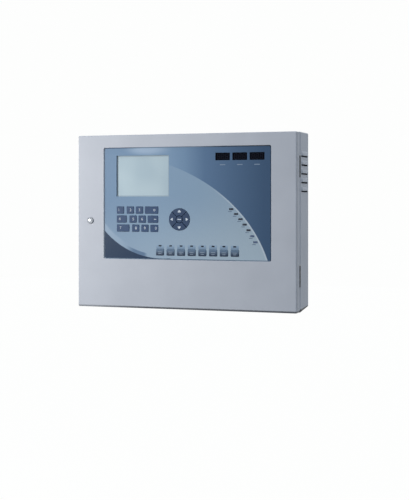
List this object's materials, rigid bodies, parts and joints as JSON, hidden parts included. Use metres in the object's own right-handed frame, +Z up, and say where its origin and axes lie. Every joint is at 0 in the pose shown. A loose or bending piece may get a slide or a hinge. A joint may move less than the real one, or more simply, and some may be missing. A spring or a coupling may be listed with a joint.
{
  "type": "fire alarm control panel",
  "caption": "Wall-mounted steel fire alarm control panel: hinged, lockable door with a window for display, keypad, navigation pad, function keys and lamps over boards, supply and batteries.",
  "frame": {"origin": "centre of the back face, which lies on the wall", "axes": "+X to the right along the wall as seen from the front, +Y into the wall, +Z up"},
  "size_m": [0.5346, 0.1038, 0.4013],
  "materials": {
    "painted_grey": "grey powder coat, fine orange peel",
    "bright_steel": "bright zinc plate",
    "dark_steel": "black oxide",
    "grey_rubber": "matt light grey",
    "blue_paint": "satin blue, graded like the overlay",
    "overlay_film": "printed satin film in two blues",
    "display_glass": "grey-green display, anti-glare",
    "black_filter": "smoked filter",
    "lens": "dark tinted lens",
    "circuit_board": "green solder mask",
    "terminal_plastic": "satin",
    "battery_case": "satin",
    "flat_cable": "satin",
    "red_wire": "satin",
    "black_wire": "satin",
    "key_plastic": "satin dark blue"
  },
  "bodies": {
    "enclosure": {"back_box": "painted_grey", "gland_plate": "painted_grey", "hinge_frame_leaf_upper": "dark_steel", "hinge_frame_leaf_lower": "dark_steel", "hinge_pin_upper": "bright_steel", "hinge_pin_lower": "bright_steel", "main_board": "circuit_board", "field_terminals": "terminal_plastic", "power_supply": "bright_steel", "battery_left": "battery_case", "battery_right": "battery_case", "battery_strap": "bright_steel", "battery_link_lead": "red_wire", "battery_lead_negative": "black_wire", "battery_lead_positive": "red_wire", "supply_lead": "red_wire", "ribbon_cable": "flat_cable"},
    "door": {"door_shell": "painted_grey", "window_gasket": "grey_rubber", "fascia_plate": "blue_paint", "overlay": "overlay_film", "lcd_module": "dark_steel", "lcd_glass": "display_glass", "digit_display_1": "black_filter", "digit_display_2": "black_filter", "digit_display_3": "black_filter", "function_lens_strip": "lens", "status_lens_strip": "lens", "display_board": "circuit_board", "lock_barrel": "bright_steel", "lock_nut": "bright_steel", "hinge_door_leaf_upper": "dark_steel", "hinge_door_leaf_lower": "dark_steel"},
    "lock": {"lock_plug": "bright_steel", "lock_cam": "bright_steel"},
    "keypad_key_1": {"keypad_key_1": "key_plastic"},
    "keypad_key_2": {"keypad_key_2": "key_plastic"},
    "keypad_key_3": {"keypad_key_3": "key_plastic"},
    "keypad_key_4": {"keypad_key_4": "key_plastic"},
    "keypad_key_5": {"keypad_key_5": "key_plastic"},
    "keypad_key_6": {"keypad_key_6": "key_plastic"},
    "keypad_key_7": {"keypad_key_7": "key_plastic"},
    "keypad_key_8": {"keypad_key_8": "key_plastic"},
    "keypad_key_9": {"keypad_key_9": "key_plastic"},
    "keypad_key_10": {"keypad_key_10": "key_plastic"},
    "keypad_key_11": {"keypad_key_11": "key_plastic"},
    "keypad_key_12": {"keypad_key_12": "key_plastic"},
    "function_key_1": {"function_key_1": "key_plastic"},
    "function_key_2": {"function_key_2": "key_plastic"},
    "function_key_3": {"function_key_3": "key_plastic"},
    "function_key_4": {"function_key_4": "key_plastic"},
    "function_key_5": {"function_key_5": "key_plastic"},
    "function_key_6": {"function_key_6": "key_plastic"},
    "function_key_7": {"function_key_7": "key_plastic"},
    "function_key_8": {"function_key_8": "key_plastic"},
    "nav_key_up": {"nav_key_up": "key_plastic"},
    "nav_key_right": {"nav_key_right": "key_plastic"},
    "nav_key_down": {"nav_key_down": "key_plastic"},
    "nav_key_left": {"nav_key_left": "key_plastic"},
    "nav_key_centre": {"nav_key_centre": "key_plastic"}
  },
  "joints": [
    {"name": "door_hinge", "type": "hinge", "parent": "enclosure", "child": "door", "pos_m": [0.2642, -0.072, 0], "axis": [0, 0, 1], "range_deg": [0, 110], "deforming": ["ribbon_cable"]},
    {"name": "lock_turn", "type": "hinge", "parent": "door", "child": "lock", "pos_m": [-0.2336, -0.0685, 0.0015], "axis": [0, 1, 0], "range_deg": [0, 90]},
    {"name": "keypad_key_1_press", "type": "slide", "parent": "door", "child": "keypad_key_1", "axis": [0, 1, 0], "range_m": [0, 0.001], "stiffness_N_per_m": 400},
    {"name": "keypad_key_2_press", "type": "slide", "parent": "door", "child": "keypad_key_2", "axis": [0, 1, 0], "range_m": [0, 0.001], "stiffness_N_per_m": 400},
    {"name": "keypad_key_3_press", "type": "slide", "parent": "door", "child": "keypad_key_3", "axis": [0, 1, 0], "range_m": [0, 0.001], "stiffness_N_per_m": 400},
    {"name": "keypad_key_4_press", "type": "slide", "parent": "door", "child": "keypad_key_4", "axis": [0, 1, 0], "range_m": [0, 0.001], "stiffness_N_per_m": 400},
    {"name": "keypad_key_5_press", "type": "slide", "parent": "door", "child": "keypad_key_5", "axis": [0, 1, 0], "range_m": [0, 0.001], "stiffness_N_per_m": 400},
    {"name": "keypad_key_6_press", "type": "slide", "parent": "door", "child": "keypad_key_6", "axis": [0, 1, 0], "range_m": [0, 0.001], "stiffness_N_per_m": 400},
    {"name": "keypad_key_7_press", "type": "slide", "parent": "door", "child": "keypad_key_7", "axis": [0, 1, 0], "range_m": [0, 0.001], "stiffness_N_per_m": 400},
    {"name": "keypad_key_8_press", "type": "slide", "parent": "door", "child": "keypad_key_8", "axis": [0, 1, 0], "range_m": [0, 0.001], "stiffness_N_per_m": 400},
    {"name": "keypad_key_9_press", "type": "slide", "parent": "door", "child": "keypad_key_9", "axis": [0, 1, 0], "range_m": [0, 0.001], "stiffness_N_per_m": 400},
    {"name": "keypad_key_10_press", "type": "slide", "parent": "door", "child": "keypad_key_10", "axis": [0, 1, 0], "range_m": [0, 0.001], "stiffness_N_per_m": 400},
    {"name": "keypad_key_11_press", "type": "slide", "parent": "door", "child": "keypad_key_11", "axis": [0, 1, 0], "range_m": [0, 0.001], "stiffness_N_per_m": 400},
    {"name": "keypad_key_12_press", "type": "slide", "parent": "door", "child": "keypad_key_12", "axis": [0, 1, 0], "range_m": [0, 0.001], "stiffness_N_per_m": 400},
    {"name": "function_key_1_press", "type": "slide", "parent": "door", "child": "function_key_1", "axis": [0, 1, 0], "range_m": [0, 0.001], "stiffness_N_per_m": 400},
    {"name": "function_key_2_press", "type": "slide", "parent": "door", "child": "function_key_2", "axis": [0, 1, 0], "range_m": [0, 0.001], "stiffness_N_per_m": 400},
    {"name": "function_key_3_press", "type": "slide", "parent": "door", "child": "function_key_3", "axis": [0, 1, 0], "range_m": [0, 0.001], "stiffness_N_per_m": 400},
    {"name": "function_key_4_press", "type": "slide", "parent": "door", "child": "function_key_4", "axis": [0, 1, 0], "range_m": [0, 0.001], "stiffness_N_per_m": 400},
    {"name": "function_key_5_press", "type": "slide", "parent": "door", "child": "function_key_5", "axis": [0, 1, 0], "range_m": [0, 0.001], "stiffness_N_per_m": 400},
    {"name": "function_key_6_press", "type": "slide", "parent": "door", "child": "function_key_6", "axis": [0, 1, 0], "range_m": [0, 0.001], "stiffness_N_per_m": 400},
    {"name": "function_key_7_press", "type": "slide", "parent": "door", "child": "function_key_7", "axis": [0, 1, 0], "range_m": [0, 0.001], "stiffness_N_per_m": 400},
    {"name": "function_key_8_press", "type": "slide", "parent": "door", "child": "function_key_8", "axis": [0, 1, 0], "range_m": [0, 0.001], "stiffness_N_per_m": 400},
    {"name": "nav_key_up_press", "type": "slide", "parent": "door", "child": "nav_key_up", "axis": [0, 1, 0], "range_m": [0, 0.001], "stiffness_N_per_m": 400},
    {"name": "nav_key_right_press", "type": "slide", "parent": "door", "child": "nav_key_right", "axis": [0, 1, 0], "range_m": [0, 0.001], "stiffness_N_per_m": 400},
    {"name": "nav_key_down_press", "type": "slide", "parent": "door", "child": "nav_key_down", "axis": [0, 1, 0], "range_m": [0, 0.001], "stiffness_N_per_m": 400},
    {"name": "nav_key_left_press", "type": "slide", "parent": "door", "child": "nav_key_left", "axis": [0, 1, 0], "range_m": [0, 0.001], "stiffness_N_per_m": 400},
    {"name": "nav_key_centre_press", "type": "slide", "parent": "door", "child": "nav_key_centre", "axis": [0, 1, 0], "range_m": [0, 0.001], "stiffness_N_per_m": 400}
  ]
}
